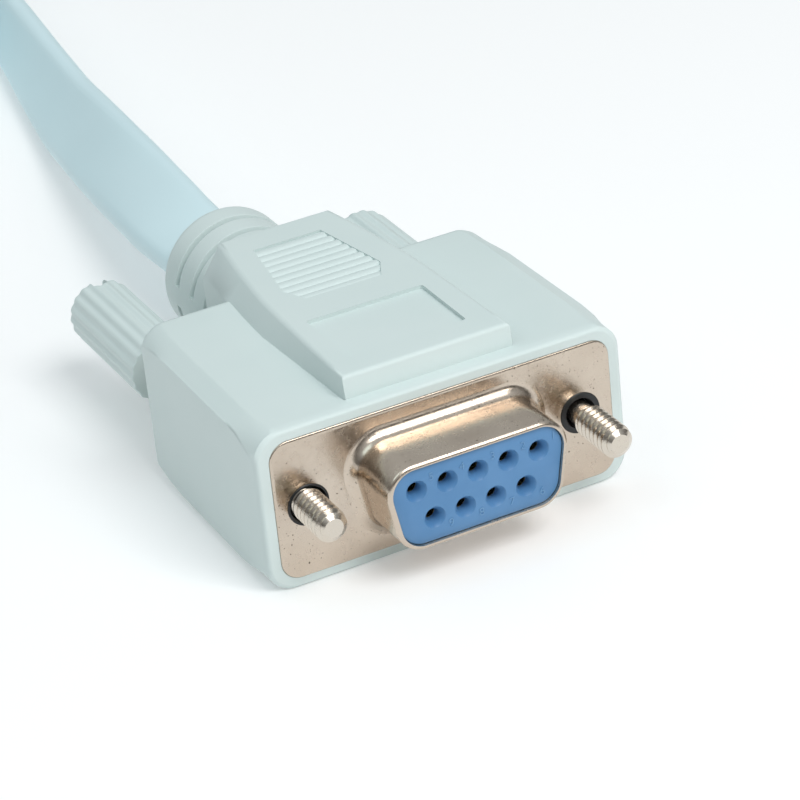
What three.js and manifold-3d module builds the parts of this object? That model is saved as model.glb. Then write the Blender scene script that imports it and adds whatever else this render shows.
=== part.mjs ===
// Console cable: a nine-way socket connector in an overmoulded hood with two thumbscrews,
// a flat eight-core lead wound into a hank, and a clear modular plug.
// Millimetres. X runs across the connector, the mating face looks along -Y and +Z is up.
// The connector is drawn about its own axis, with y = 0 at the front of the metal flange,
// and the whole group is then lifted so that it rests on z = 0.
import * as THREE from 'three';
import { mergeVertices } from 'three/addons/utils/BufferGeometryUtils.js';
import Module from 'manifold-3d';

const wasm = await Module();
wasm.setup();

// Clearances between separate pieces
const closeGap = 0.1;
const gap = 0.3;

// How far a cutter reaches past what it cuts
const overshoot = 1;

// Contact pattern of the nine-way connector
const contactPitch = 2.77;
const rowPitch = 2.84;
const upperContacts = 5;
const lowerContacts = 4;

// Metal shell: flange plate and drawn D
const screwSpacing = 24.99;
const flangeEars = 5.91;
const flangeWidth = screwSpacing + flangeEars;
const flangeHeight = 12.5;
const flangeThickness = 0.8;
const flangeCorner = 1.7;
const shellWidth = 16.33;
const shellHeight = 7.9;
const shellDepth = 5.75;
const shellWall = 0.4;
const shellCorner = 2.5;
const shellSlant = 10 * Math.PI / 180;
const flangeHole = 3.7;

// Blue insulator and its contacts
const insulatorRecess = 0.25;
const insulatorTail = 4.0;
const countersinkWidth = 1.9;
const countersinkDepth = 0.42;
const contactBore = 1.2;
const contactWall = 0.2;
const contactStep = 0.05;
const socketRecess = 1.3;
const contactTail = 1;
const contactLength = 5.5;

// Overmoulded hood
const hoodLip = 1.15;
const hoodLipTop = 1.0;
const hoodTaper = 0.4;
const hoodEdgeRun = 1.7;
const hoodEdgeDrop = 0.9;
const shoulderDepth = 24.1;
const hoodFront = 0.1;
const ridgeFront = 1.6;
const ridgeRise = 1.95;
const ridgeSink = 0.2;
const ridgeFrontSlope = 0.3;
const ridgeHalfWidthFront = 7.8;
const ridgeHalfWidthMiddle = 7.1;
const ridgeHalfWidthRear = 5.25;
const ridgeFootMiddle = 8.5;
const ridgeFootRear = 7.2;
const ridgeFootDrop = 0.9;
const ridgeMiddle = 15.5;
const ridgeLength = 30.4;
const reliefOffset = -0.3;
const labelWidth = 10.8;
const labelFront = 4.6;
const labelBack = 12.4;
const labelDepth = 0.35;
const gripBack = 27.1;
const gripLength = 8.7;
const gripNose = 2.3;
const gripWidthNose = 7.0;
const gripWidthFront = 9.15;
const gripWidthBack = 6.4;
const gripDepth = 0.3;
const gripRibs = 10;
const gripRibWidth = 0.7;

// Strain-relief boot, moulded in one with the hood
const bootWidth = 12.1;
const bootHeight = 12.3;
const bootEnd = 43.3;
const bootRimRound = 1.0;
const bootRoot = 2;
const ringGrooveCount = 3;
const ringGrooveWidth = 0.75;
const ringGrooveDepth = 1.1;
const ringGroovePitch = 3.0;
const ringGrooveFirst = 34.0;
const ringGrooveEnd = 1.2;
const ringGrooveStart = -0.7;
const firstGrooveStart = 3.0;

// Thumbscrews
const threadDiameter = 2.84;
const threadLength = 5.2;
const threadTipChamfer = 0.55;
const neckDiameter = 2.2;
const leftReach = 4.5;
const rightReach = 6.4;
const knobDiameter = 6.1;
const knobLength = 14.4;
const knobEndRound = 0.7;
const knobFrontEdge = 0.2;
const knobToTip = 32.9;
const knobFlutes = 18;
const knobFluteDepth = 0.15;
const knobBoreDepth = 11.0;
const slotWidth = 1.3;
const slotDepth = 1.5;
const leftSlotTurn = 0;
const rightSlotTurn = 1.25;
const washerPlay = 0.12;
const washerThickness = 0.9;
const washerSet = 0.15;

// Flat lead
const leadWidth = 8.4;
const leadThickness = 2.5;
const leadInBoot = 4.4;
const twistEase = 1.25;
const hankTurns = 5;
const hankPitch = 3.0;
const hankRadius = 25.0;
const hankRun = 80.0;
const hankNearBend = 136.0;
const hankCentre = -14.5;
const tieWidth = 9.0;
const tieThickness = 0.5;
const tieCorner = 0.7;

// Modular plug on the tail of the lead
const plugWidth = 11.7;
const plugHeight = 8.0;
const plugLength = 21.5;
const plugNose = 1.1;
const plugFromBend = 52.0;
const entryWidth = 9.0;
const entryHeight = 3.1;
const entryDepth = 9.0;
const bladeCount = 8;
const bladePitch = 1.02;
const bladeThickness = 0.3;
const bladeHeight = 3.4;
const bladeLength = 3.2;
const bladeSet = 0.35;
const bladeFromNose = 1.6;
const latchWidth = 6.2;
const latchThickness = 1.0;
const latchLength = 14.0;
const latchLift = 4.2;
const latchFromNose = 1.2;
const latchRoot = 2.2;
const latchKnee = 1.5;
const latchKneeRise = 1.6;
const latchClear = 0.5;
const latchSet = 0.4;

// Sizes that follow from the ones above
const screwX = screwSpacing / 2;
const hoodHalfWidth = flangeWidth / 2 + hoodLip;
const shoulderHalfHeight = flangeHeight / 2 + hoodLipTop;
const ridgeTop = shoulderHalfHeight + ridgeRise;
const shellFront = -shellDepth;
const insulatorFront = shellFront + insulatorRecess;
const socketStart = insulatorFront + socketRecess;
const leadStart = bootEnd - leadInBoot;
const floorLevel = -shoulderHalfHeight;
const hankLow = floorLevel + tieThickness + gap;
const leadRest = hankLow + leadWidth / 2;
const knobEnd = knobToTip + knobLength - Math.min(leftReach, rightReach);
const frontEnd = Math.min(shellFront, -leftReach, -rightReach);
const middleY = (Math.max(bootEnd, knobEnd) + frontEnd) / 2;

// Looks
const paleAqua = new THREE.MeshStandardMaterial({ color: 0xc6d9dc, roughness: 0.55, metalness: 0 });
const leadAqua = new THREE.MeshStandardMaterial({ color: 0xbfd6df, roughness: 0.5, metalness: 0 });
const nickel = new THREE.MeshStandardMaterial({ color: 0xc9b9a6, roughness: 0.28, metalness: 1 });
const steel = new THREE.MeshStandardMaterial({ color: 0xd2c8bd, roughness: 0.25, metalness: 1 });
const blue = new THREE.MeshStandardMaterial({ color: 0x4f88bd, roughness: 0.45, metalness: 0 });
const black = new THREE.MeshStandardMaterial({ color: 0x15181a, roughness: 0.5, metalness: 0 });
const gold = new THREE.MeshStandardMaterial({ color: 0xd9b25a, roughness: 0.25, metalness: 1 });
const clear = new THREE.MeshStandardMaterial({
  color: 0xe6eef0,
  roughness: 0.1,
  metalness: 0,
  transparent: true,
  opacity: 0.45,
});

// Turning a three.js geometry into a solid that can be cut, and back
function solid(geometry) {
  const bare = geometry.clone();
  bare.deleteAttribute('normal');
  bare.deleteAttribute('uv');
  const merged = mergeVertices(bare, 1e-4);
  return new wasm.Manifold(new wasm.Mesh({
    numProp: 3,
    vertProperties: Float32Array.from(merged.attributes.position.array),
    triVerts: Uint32Array.from(merged.index.array),
  }));
}

function geometryOf(body) {
  const mesh = body.getMesh();
  const geometry = new THREE.BufferGeometry();
  geometry.setAttribute('position', new THREE.BufferAttribute(mesh.vertProperties, 3));
  geometry.setIndex(new THREE.BufferAttribute(mesh.triVerts, 1));
  geometry.computeVertexNormals();
  return geometry;
}

// A flat outline drawn in X and Z, extruded along Y between two stations
function alongY(outline, from, to, options = {}) {
  const settings = { depth: to - from, bevelEnabled: false, curveSegments: 6, ...options };
  const geometry = new THREE.ExtrudeGeometry(outline, settings);
  geometry.rotateX(Math.PI / 2);
  geometry.translate(0, to, 0);
  return geometry;
}

// A flat outline drawn in X and Y, extruded upwards between two heights
function upwards(outline, from, to, options = {}) {
  const settings = { depth: to - from, bevelEnabled: false, curveSegments: 10, ...options };
  const geometry = new THREE.ExtrudeGeometry(outline, settings);
  geometry.translate(0, 0, from);
  return geometry;
}

function outlineOf(points) {
  return new THREE.Shape(points.map(([x, y]) => new THREE.Vector2(x, y)));
}

function roundedRectangle(width, height, corner) {
  const right = width / 2;
  const top = height / 2;
  const shape = new THREE.Shape();
  shape.moveTo(right - corner, -top);
  shape.absarc(right - corner, -top + corner, corner, -Math.PI / 2, 0, false);
  shape.absarc(right - corner, top - corner, corner, 0, Math.PI / 2, false);
  shape.absarc(-right + corner, top - corner, corner, Math.PI / 2, Math.PI, false);
  shape.absarc(-right + corner, -top + corner, corner, Math.PI, 1.5 * Math.PI, false);
  return shape;
}

// The D outline: wide side on top, sides slanting inwards, all corners round
function roundedD(width, height, corner) {
  const top = height / 2 - corner;
  const upper = width / 2 - corner;
  const lower = upper - 2 * top * Math.tan(shellSlant);
  const shape = new THREE.Shape();
  shape.absarc(upper, top, corner, -shellSlant, Math.PI / 2, false);
  shape.absarc(-upper, top, corner, Math.PI / 2, Math.PI + shellSlant, false);
  shape.absarc(-lower, -top, corner, Math.PI + shellSlant, 1.5 * Math.PI, false);
  shape.absarc(lower, -top, corner, -Math.PI / 2, -shellSlant, false);
  return shape;
}

// A turned piece: pairs of radius and station along Y
function turned(profile, sides, x = 0, z = 0) {
  const geometry = new THREE.LatheGeometry(profile.map(([r, y]) => new THREE.Vector2(r, y)), sides);
  geometry.translate(x, 0, z);
  return geometry;
}

function rod(radius, from, to, sides, x = 0, z = 0) {
  return solid(turned([[0, from], [radius, from], [radius, to], [0, to]], sides, x, z));
}

function block(width, length, height, x, y, z) {
  const geometry = new THREE.BoxGeometry(width, length, height);
  geometry.translate(x, y, z);
  return solid(geometry);
}

// A skin through equal rings of points, closed at both ends by a flat face
function lofted(rings) {
  const count = rings[0].length;
  const positions = rings.flat().flat();
  const index = [];
  for (let ring = 0; ring + 1 < rings.length; ring += 1) {
    for (let i = 0; i < count; i += 1) {
      const a = ring * count + i;
      const b = ring * count + (i + 1) % count;
      index.push(a, b, b + count, a, b + count, a + count);
    }
  }
  const last = (rings.length - 1) * count;
  for (let i = 1; i + 1 < count; i += 1) {
    index.push(0, i + 1, i);
    index.push(last, last + i, last + i + 1);
  }
  const geometry = new THREE.BufferGeometry();
  geometry.setAttribute('position', new THREE.Float32BufferAttribute(positions, 3));
  geometry.setIndex(index);
  return geometry;
}

// Contact places: five in the upper row, four in the lower one
function contactPlaces() {
  const places = [];
  for (let i = 0; i < upperContacts; i += 1) {
    places.push([(i - (upperContacts - 1) / 2) * contactPitch, rowPitch / 2]);
  }
  for (let i = 0; i < lowerContacts; i += 1) {
    places.push([(i - (lowerContacts - 1) / 2) * contactPitch, -rowPitch / 2]);
  }
  return places;
}

// Hood with its raised ridge on the upper face and the strain-relief boot, one moulding.
// The ridge runs on behind the shoulder, where it is as deep below as the boot's root.
function ridgeRing(y, topHalfWidth, footHalfWidth, top, foot) {
  const bottom = ridgeFootDrop - shoulderHalfHeight;
  return [
    [footHalfWidth, y, bottom],
    [footHalfWidth, y, foot],
    [topHalfWidth, y, top],
    [-topHalfWidth, y, top],
    [-footHalfWidth, y, foot],
    [-footHalfWidth, y, bottom],
  ].reverse();
}

function ridgeBody() {
  const foot = shoulderHalfHeight - ridgeSink;
  const rearFoot = shoulderHalfHeight - ridgeFootDrop;
  return solid(lofted([
    ridgeRing(ridgeFront, ridgeHalfWidthFront, ridgeHalfWidthFront, shoulderHalfHeight, foot),
    ridgeRing(ridgeFront + ridgeFrontSlope, ridgeHalfWidthFront, ridgeHalfWidthFront, ridgeTop, foot),
    ridgeRing(ridgeMiddle, ridgeHalfWidthMiddle, ridgeFootMiddle, ridgeTop, foot),
    ridgeRing(ridgeLength, ridgeHalfWidthRear, ridgeFootRear, ridgeTop, rearFoot),
  ]));
}

// The boot's profile is drawn with a radius of one and stretched to its width and height
function bootBody() {
  const sides = 32;
  const root = shoulderDepth - bootRoot;
  const rimShare = bootRimRound / (bootWidth / 2);
  const profile = [[0, root], [1, root]];
  const steps = 3;
  for (let i = 0; i <= steps; i += 1) {
    const angle = i / steps * Math.PI / 2;
    profile.push([1 - rimShare * (1 - Math.cos(angle)), bootEnd - bootRimRound * (1 - Math.sin(angle))]);
  }
  profile.push([0, bootEnd]);
  const geometry = turned(profile, sides);
  geometry.scale(bootWidth / 2, 1, bootHeight / 2);
  return solid(geometry);
}

// One half-ring cutter above or below the bridges that join the boot's rings at the sides
function ringCutter(y, above, edge) {
  const from = y - ringGrooveWidth / 2;
  const to = y + ringGrooveWidth / 2;
  const outside = turned([[0, from], [1, from], [1, to], [0, to]], 32);
  outside.scale(bootWidth / 2 + overshoot, 1, bootHeight / 2 + overshoot);
  const inner = [[0, from - overshoot], [1, from - overshoot], [1, to + overshoot], [0, to + overshoot]];
  const inside = turned(inner, 32);
  inside.scale(bootWidth / 2 - ringGrooveDepth, 1, bootHeight / 2 - ringGrooveDepth);
  const middle = above ? edge + bootHeight : edge - bootHeight;
  const half = block(2 * bootWidth, 2 * ringGrooveWidth, 2 * bootHeight, 0, y, middle);
  return solid(outside).subtract(solid(inside)).intersect(half);
}

// One end of the wide shoulder: a rectangle whose long edges are bevelled
function shoulderRing(y, halfWidth) {
  const top = shoulderHalfHeight;
  const side = top - hoodEdgeDrop;
  return [
    [halfWidth, y, -side],
    [halfWidth, y, side],
    [halfWidth - hoodEdgeRun, y, top],
    [hoodEdgeRun - halfWidth, y, top],
    [-halfWidth, y, side],
    [-halfWidth, y, -side],
    [hoodEdgeRun - halfWidth, y, -top],
    [halfWidth - hoodEdgeRun, y, -top],
  ].reverse();
}

function hood() {
  const shoulder = lofted([
    shoulderRing(hoodFront, hoodHalfWidth),
    shoulderRing(shoulderDepth, hoodHalfWidth - hoodTaper),
  ]);
  let body = solid(shoulder).add(ridgeBody()).add(bootBody());

  const pocketWidth = flangeWidth + 2 * closeGap;
  const pocketHeight = flangeHeight + 2 * closeGap;
  const flangePocket = roundedRectangle(pocketWidth, pocketHeight, flangeCorner + closeGap);
  body = body.subtract(solid(alongY(flangePocket, -overshoot, flangeThickness + closeGap)));
  const insulatorPocket = roundedD(shellWidth + 2 * gap, shellHeight + 2 * gap, shellCorner + gap);
  body = body.subtract(solid(alongY(insulatorPocket, 0, insulatorTail + gap)));
  for (const side of [-1, 1]) {
    body = body.subtract(rod(threadDiameter / 2 + gap, 0, shoulderDepth + overshoot, 20, side * screwX));
    body = body.subtract(rod(flangeHole / 2 + gap, 0, washerSet + washerThickness + gap, 20, side * screwX));
  }

  const mouthWidth = leadWidth + 2 * closeGap;
  const mouthHeight = leadThickness + 2 * closeGap;
  const leadPocket = roundedRectangle(mouthWidth, mouthHeight, leadThickness / 2);
  body = body.subtract(solid(alongY(leadPocket, leadStart - gap, bootEnd + overshoot)));
  body = body.subtract(ringCutter(ringGrooveFirst, false, firstGrooveStart));
  for (let ring = 1; ring < ringGrooveCount; ring += 1) {
    const y = ringGrooveFirst + ring * ringGroovePitch;
    body = body.subtract(ringCutter(y, false, ringGrooveStart));
    body = body.subtract(ringCutter(y, true, ringGrooveEnd));
  }

  const labelLength = labelBack - labelFront;
  const labelMiddle = (labelFront + labelBack) / 2;
  const label = block(labelWidth, labelLength, 2 * labelDepth, reliefOffset, labelMiddle, ridgeTop);
  body = body.subtract(label);
  return geometryOf(body.subtract(gripPatch()));
}

// Sunk grip on the ridge: it widens forwards, closes to a short nose, and has ribs left across it
function gripPatch() {
  const widest = gripBack - gripLength;
  const front = widest - gripNose;
  const outline = outlineOf([
    [reliefOffset - gripWidthNose / 2, front],
    [reliefOffset + gripWidthNose / 2, front],
    [reliefOffset + gripWidthFront / 2, widest],
    [reliefOffset + gripWidthBack / 2, gripBack],
    [reliefOffset - gripWidthBack / 2, gripBack],
    [reliefOffset - gripWidthFront / 2, widest],
  ]);
  let patch = solid(upwards(outline, ridgeTop - gripDepth, ridgeTop + overshoot));
  const pitch = (gripLength + gripNose) / gripRibs;
  for (let rib = 0; rib < gripRibs; rib += 1) {
    const y = front + (rib + 0.5) * pitch;
    const bar = block(2 * gripWidthFront, gripRibWidth, 2 * gripDepth, 0, y, ridgeTop - gripDepth);
    patch = patch.subtract(bar);
  }
  return patch;
}

// Flange and D in one drawn piece of sheet, open at the front
function connectorShell() {
  const plate = roundedRectangle(flangeWidth, flangeHeight, flangeCorner);
  let body = solid(alongY(plate, 0, flangeThickness));
  const outer = roundedD(shellWidth, shellHeight, shellCorner);
  body = body.add(solid(alongY(outer, shellFront, flangeThickness / 2)));
  const inner = roundedD(shellWidth - 2 * shellWall, shellHeight - 2 * shellWall, shellCorner - shellWall);
  body = body.subtract(solid(alongY(inner, shellFront - overshoot, flangeThickness + overshoot)));
  for (const side of [-1, 1]) {
    body = body.subtract(rod(flangeHole / 2, -overshoot, flangeThickness + overshoot, 24, side * screwX));
  }
  return geometryOf(body);
}

// Insulator: fills the D, with a countersunk stepped hole for each contact
function insulator() {
  const inset = shellWall + closeGap;
  const outline = roundedD(shellWidth - 2 * inset, shellHeight - 2 * inset, shellCorner - inset);
  let body = solid(alongY(outline, insulatorFront, insulatorTail));
  const bore = contactBore / 2;
  const socket = bore + contactWall + closeGap / 2;
  for (const [x, z] of contactPlaces()) {
    const flare = [
      [0, insulatorFront - overshoot],
      [countersinkWidth / 2, insulatorFront - overshoot],
      [countersinkWidth / 2, insulatorFront],
      [bore, insulatorFront + countersinkDepth],
      [0, insulatorFront + countersinkDepth],
    ];
    body = body.subtract(solid(turned(flare, 16, x, z)));
    body = body.subtract(rod(bore, insulatorFront, socketStart, 16, x, z));
    body = body.subtract(rod(socket, socketStart - closeGap, insulatorTail + overshoot, 16, x, z));
  }
  return geometryOf(body);
}

// One socket contact: a sleeve with a closed tail
function contact(x, z) {
  const bore = contactBore / 2 - contactStep;
  const outer = contactBore / 2 + contactWall;
  const end = socketStart + contactLength;
  const floor = end - contactTail;
  const profile = [
    [bore, socketStart],
    [outer, socketStart],
    [outer, end],
    [0, end],
    [0, floor],
    [bore, floor],
    [bore, socketStart],
  ];
  return turned(profile, 16, x, z);
}

// Thin black washer that keeps the screw centred in the flange hole. What passes through
// it is the thread of the left screw and the neck of the right one, which reaches further.
function washer(x, shaftDiameter) {
  const inner = shaftDiameter / 2 + washerPlay;
  const outer = flangeHole / 2 - closeGap;
  const from = washerSet;
  const to = washerSet + washerThickness;
  return turned([[inner, from], [outer, from], [outer, to], [inner, to], [inner, from]], 24, x);
}

// Steel screw: chamfered tip, threaded length, thinner neck running back into the knob
function screw(x, reach) {
  const tip = -reach;
  const thread = threadDiameter / 2;
  const neck = neckDiameter / 2;
  const threadEnd = tip + threadLength;
  const end = tip + knobToTip + knobBoreDepth - gap;
  const profile = [
    [0, tip],
    [thread - threadTipChamfer, tip],
    [thread, tip + threadTipChamfer],
    [thread, threadEnd],
    [neck, threadEnd + threadTipChamfer],
    [neck, end],
    [0, end],
  ];
  return turned(profile, 24, x);
}

// Fluted knob with a driver slot across its rear end
function knob(x, reach, slotTurn) {
  const front = -reach + knobToTip;
  const back = front + knobLength;
  const outline = new THREE.Shape();
  const stepsPerFlute = 6;
  const radius = knobDiameter / 2;
  for (let i = 0; i < knobFlutes * stepsPerFlute; i += 1) {
    const angle = i / (knobFlutes * stepsPerFlute) * 2 * Math.PI;
    const wave = Math.abs(Math.sin(angle * knobFlutes / 2));
    const r = radius - knobFluteDepth * (1 - wave);
    outline[i === 0 ? 'moveTo' : 'lineTo'](x + r * Math.cos(angle), r * Math.sin(angle));
  }
  const round = knobEndRound;
  const profile = [
    [0, front],
    [radius - knobFrontEdge, front],
    [radius, front + knobFrontEdge],
    [radius, back - round],
    [radius - round, back],
    [0, back],
  ];
  const ends = turned(profile, 40, x);
  let body = solid(alongY(outline, front, back)).intersect(solid(ends));
  body = body.subtract(rod(neckDiameter / 2 + closeGap, front - overshoot, front + knobBoreDepth, 20, x));
  const cutter = new THREE.BoxGeometry(slotWidth, 2 * slotDepth, 2 * knobDiameter);
  cutter.rotateY(slotTurn);
  cutter.translate(x, back, 0);
  return geometryOf(body.subtract(solid(cutter)));
}

// Section of the flat lead: width across, rounded edges
function leadSection() {
  const points = [];
  const radius = leadThickness / 2;
  const straight = leadWidth / 2 - radius;
  const arcSteps = 4;
  for (const side of [1, -1]) {
    for (let i = 0; i <= arcSteps; i += 1) {
      const angle = (i / arcSteps - 0.5) * Math.PI + (side < 0 ? Math.PI : 0);
      points.push([side * straight + radius * Math.cos(angle), radius * Math.sin(angle)]);
    }
  }
  return points;
}

// The flat lead along a curve, turning about its own axis from one angle to another
// between two shares of its length. At angle zero its width lies level; at a right
// angle it stands on its edge.
function twistedLead(points, steps, turnFrom, turnTo, turnStart, turnEnd) {
  const stations = points.map(([x, y, z]) => new THREE.Vector3(x, y, z));
  const curve = new THREE.CatmullRomCurve3(stations, false, 'centripetal');
  const section = leadSection();
  const rings = [];
  for (let step = 0; step <= steps; step += 1) {
    const t = step / steps;
    const centre = curve.getPointAt(t);
    const forward = curve.getTangentAt(t);
    const level = new THREE.Vector3(forward.y, -forward.x, 0).normalize();
    const up = new THREE.Vector3().crossVectors(level, forward).normalize();
    const share = THREE.MathUtils.clamp((t - turnStart) / (turnEnd - turnStart), 0, 1);
    const eased = 1 - (1 - share) ** twistEase;
    const turn = turnFrom + (turnTo - turnFrom) * eased;
    const across = level.clone().multiplyScalar(Math.cos(turn)).addScaledVector(up, Math.sin(turn));
    const over = up.clone().multiplyScalar(Math.cos(turn)).addScaledVector(level, -Math.sin(turn));
    const ring = section.map(([a, b]) => centre.clone().addScaledVector(across, a).addScaledVector(over, b));
    rings.push(ring.map((point) => point.toArray()).reverse());
  }
  return lofted(rings);
}

const onEdge = Math.PI / 2;
const laneStart = [hankCentre + hankRadius, hankNearBend, leadRest];
const leadRoute = [
  [0, leadStart, 0],
  [0, bootEnd, 0],
  [0, bootEnd + 3, 0],
  [0, bootEnd + 6.5, 0],
  [0.1, bootEnd + 11, -0.1],
  [0.5, bootEnd + 15.5, -0.3],
  [1.0, bootEnd + 20.5, -0.65],
  [1.6, bootEnd + 26, -1.05],
  [2.1, bootEnd + 31, -1.4],
  [2.7, bootEnd + 36, -1.8],
  [3.4, bootEnd + 41.5, -2.3],
  [4.1, bootEnd + 47, -2.8],
  [4.9, bootEnd + 52.5, -2.9],
  [5.8, bootEnd + 59, -2.8],
  [6.8, bootEnd + 66, leadRest - 0.35],
  [7.9, bootEnd + 74, leadRest - 0.1],
  [9.0, bootEnd + 81.5, leadRest],
  [laneStart[0] - 0.5, hankNearBend - 5.5, leadRest],
  [laneStart[0], hankNearBend - gap, leadRest],
];

// Tail: off the innermost lane, across the opening of the hank and flat into the plug
const tailX = hankCentre + hankRadius - hankTurns * hankPitch;
const plugBack = hankNearBend + plugFromBend;
const entryMiddle = floorLevel + plugHeight / 2;
const tailRoute = [
  [tailX, hankNearBend + gap, leadRest],
  [tailX - 0.5, hankNearBend + 9, leadRest],
  [tailX - 2.6, hankNearBend + 18, leadRest - 0.1],
  [hankCentre + 4.2, hankNearBend + 28, leadRest - 0.3],
  [hankCentre + 1.2, hankNearBend + 38, entryMiddle + 0.2],
  [hankCentre, plugBack - 4, entryMiddle],
  [hankCentre, plugBack + entryDepth - 1, entryMiddle],
];

// Outline of one side of a lane of the hank. Each half turn brings the lead half a pitch further in.
function laneOutline(path, radius, offset, farBend) {
  const right = hankCentre + radius + offset;
  const quarter = hankPitch / 4;
  path.moveTo(right, hankNearBend);
  path.lineTo(right, farBend);
  path.absarc(hankCentre + quarter, farBend, radius - quarter + offset, 0, Math.PI, false);
  path.absarc(hankCentre - quarter, hankNearBend, radius - 3 * quarter + offset, Math.PI, 2 * Math.PI, false);
  path.lineTo(right, hankNearBend);
}

function hank() {
  const farBend = hankNearBend + hankRun;
  const outer = new THREE.Shape();
  laneOutline(outer, hankRadius, leadThickness / 2, farBend);
  const inner = new THREE.Path();
  laneOutline(inner, hankRadius - (hankTurns - 1) * hankPitch, -leadThickness / 2, farBend);
  outer.holes.push(inner);
  return upwards(outer, hankLow, hankLow + leadWidth, { curveSegments: 16 });
}

// Strap around the turns on one side of the hank
function tie(side) {
  const outerLane = side > 0 ? hankRadius : hankRadius - hankPitch / 2;
  const innerLane = outerLane - (hankTurns - 1) * hankPitch;
  const width = outerLane - innerLane + leadThickness + 2 * gap;
  const middle = hankCentre + side * (outerLane + innerLane) / 2;
  const height = leadWidth + 2 * gap;
  const y = hankNearBend + hankRun / 2;
  const outerWidth = width + 2 * tieThickness;
  const outerHeight = height + 2 * tieThickness;
  const strap = roundedRectangle(outerWidth, outerHeight, tieCorner + tieThickness);
  strap.holes.push(roundedRectangle(width, height, tieCorner));
  const geometry = alongY(strap, y - tieWidth / 2, y + tieWidth / 2, { curveSegments: 3 });
  geometry.translate(middle, 0, floorLevel + tieThickness + height / 2);
  return geometry;
}

// Clear plug, lying on its contact side with the latch on top
function plugBody() {
  const front = plugBack + plugLength;
  const low = floorLevel;
  const top = low + plugHeight;
  const middle = (plugBack + front) / 2;
  let body = block(plugWidth, plugLength, plugHeight, hankCentre, middle, entryMiddle);
  const nose = outlineOf([
    [front - plugNose, low - overshoot],
    [front + overshoot, low - overshoot],
    [front + overshoot, top + overshoot],
    [front, top - plugNose],
    [front, low + 2 * plugNose],
  ]);
  const noseCut = new THREE.ExtrudeGeometry(nose, { depth: 2 * plugWidth, bevelEnabled: false });
  noseCut.applyMatrix4(new THREE.Matrix4().makeBasis(
    new THREE.Vector3(0, 1, 0), new THREE.Vector3(0, 0, 1), new THREE.Vector3(1, 0, 0)));
  noseCut.translate(hankCentre - plugWidth, 0, 0);
  body = body.subtract(solid(noseCut));
  body = body.subtract(block(entryWidth, 2 * entryDepth, entryHeight, hankCentre, plugBack, entryMiddle));
  for (let i = 0; i < bladeCount; i += 1) {
    const slot = bladeThickness + 2 * closeGap;
    const length = bladeLength + 2 * closeGap;
    const height = bladeSet + bladeHeight + closeGap;
    body = body.subtract(block(slot, length, 2 * height, bladeX(i), bladeY(), low));
  }
  const latchTop = top + latchLift;
  const hinge = front - latchFromNose;
  const tip = hinge - latchLength;
  const arm = outlineOf([
    [hinge, top - latchSet],
    [hinge, top + latchThickness],
    [hinge - latchKnee, top + latchKneeRise],
    [tip, latchTop],
    [tip, latchTop - latchThickness],
    [hinge - latchRoot, top + latchClear],
    [hinge - latchRoot, top - latchSet],
  ]);
  const latch = new THREE.ExtrudeGeometry(arm, { depth: latchWidth, bevelEnabled: false });
  latch.applyMatrix4(new THREE.Matrix4().makeBasis(
    new THREE.Vector3(0, 1, 0), new THREE.Vector3(0, 0, 1), new THREE.Vector3(1, 0, 0)));
  latch.translate(hankCentre - latchWidth / 2, 0, 0);
  return geometryOf(body.add(solid(latch)));
}

function bladeX(i) {
  return hankCentre + (i - (bladeCount - 1) / 2) * bladePitch;
}

function bladeY() {
  return plugBack + plugLength - bladeFromNose - bladeLength / 2;
}

function blade(i) {
  const geometry = new THREE.BoxGeometry(bladeThickness, bladeLength, bladeHeight);
  geometry.translate(bladeX(i), bladeY(), floorLevel + bladeSet + bladeHeight / 2);
  return geometry;
}

// The whole assembly
const cable = new THREE.Group();

function place(name, geometry, material) {
  const mesh = new THREE.Mesh(geometry, material);
  mesh.name = name;
  cable.add(mesh);
}

place('hood', hood(), paleAqua);
place('connector_shell', connectorShell(), nickel);
place('insulator', insulator(), blue);
contactPlaces().forEach(([x, z], i) => place(`contact_${i + 1}`, contact(x, z), gold));
place('washer_left', washer(-screwX, threadDiameter), black);
place('washer_right', washer(screwX, neckDiameter), black);
place('screw_left', screw(-screwX, leftReach), steel);
place('screw_right', screw(screwX, rightReach), steel);
place('knob_left', knob(-screwX, leftReach, leftSlotTurn), paleAqua);
place('knob_right', knob(screwX, rightReach, rightSlotTurn), paleAqua);
place('lead_run', twistedLead(leadRoute, 24, 0, onEdge, 0.05, 0.97), leadAqua);
place('lead_hank', hank(), leadAqua);
place('lead_tail', twistedLead(tailRoute, 16, onEdge, 0, 0.03, 0.76), leadAqua);
place('tie_left', tie(-1), black);
place('tie_right', tie(1), black);
place('plug_body', plugBody(), clear);
for (let i = 0; i < bladeCount; i += 1) {
  place(`plug_contact_${i + 1}`, blade(i), gold);
}

cable.position.set(0, -middleY, shoulderHalfHeight);

export default cable;
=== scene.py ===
# Looks of the console cable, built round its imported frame.
# Pieces are modelled in millimetres about the connector's own axis: X runs across the
# connector, the mating face looks along -Y, and y = 0 is the front of the metal flange.
# A finished piece is then brought to its place in the frame, in metres.
import math

import bmesh
import bpy
from mathutils import Matrix, Vector


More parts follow.
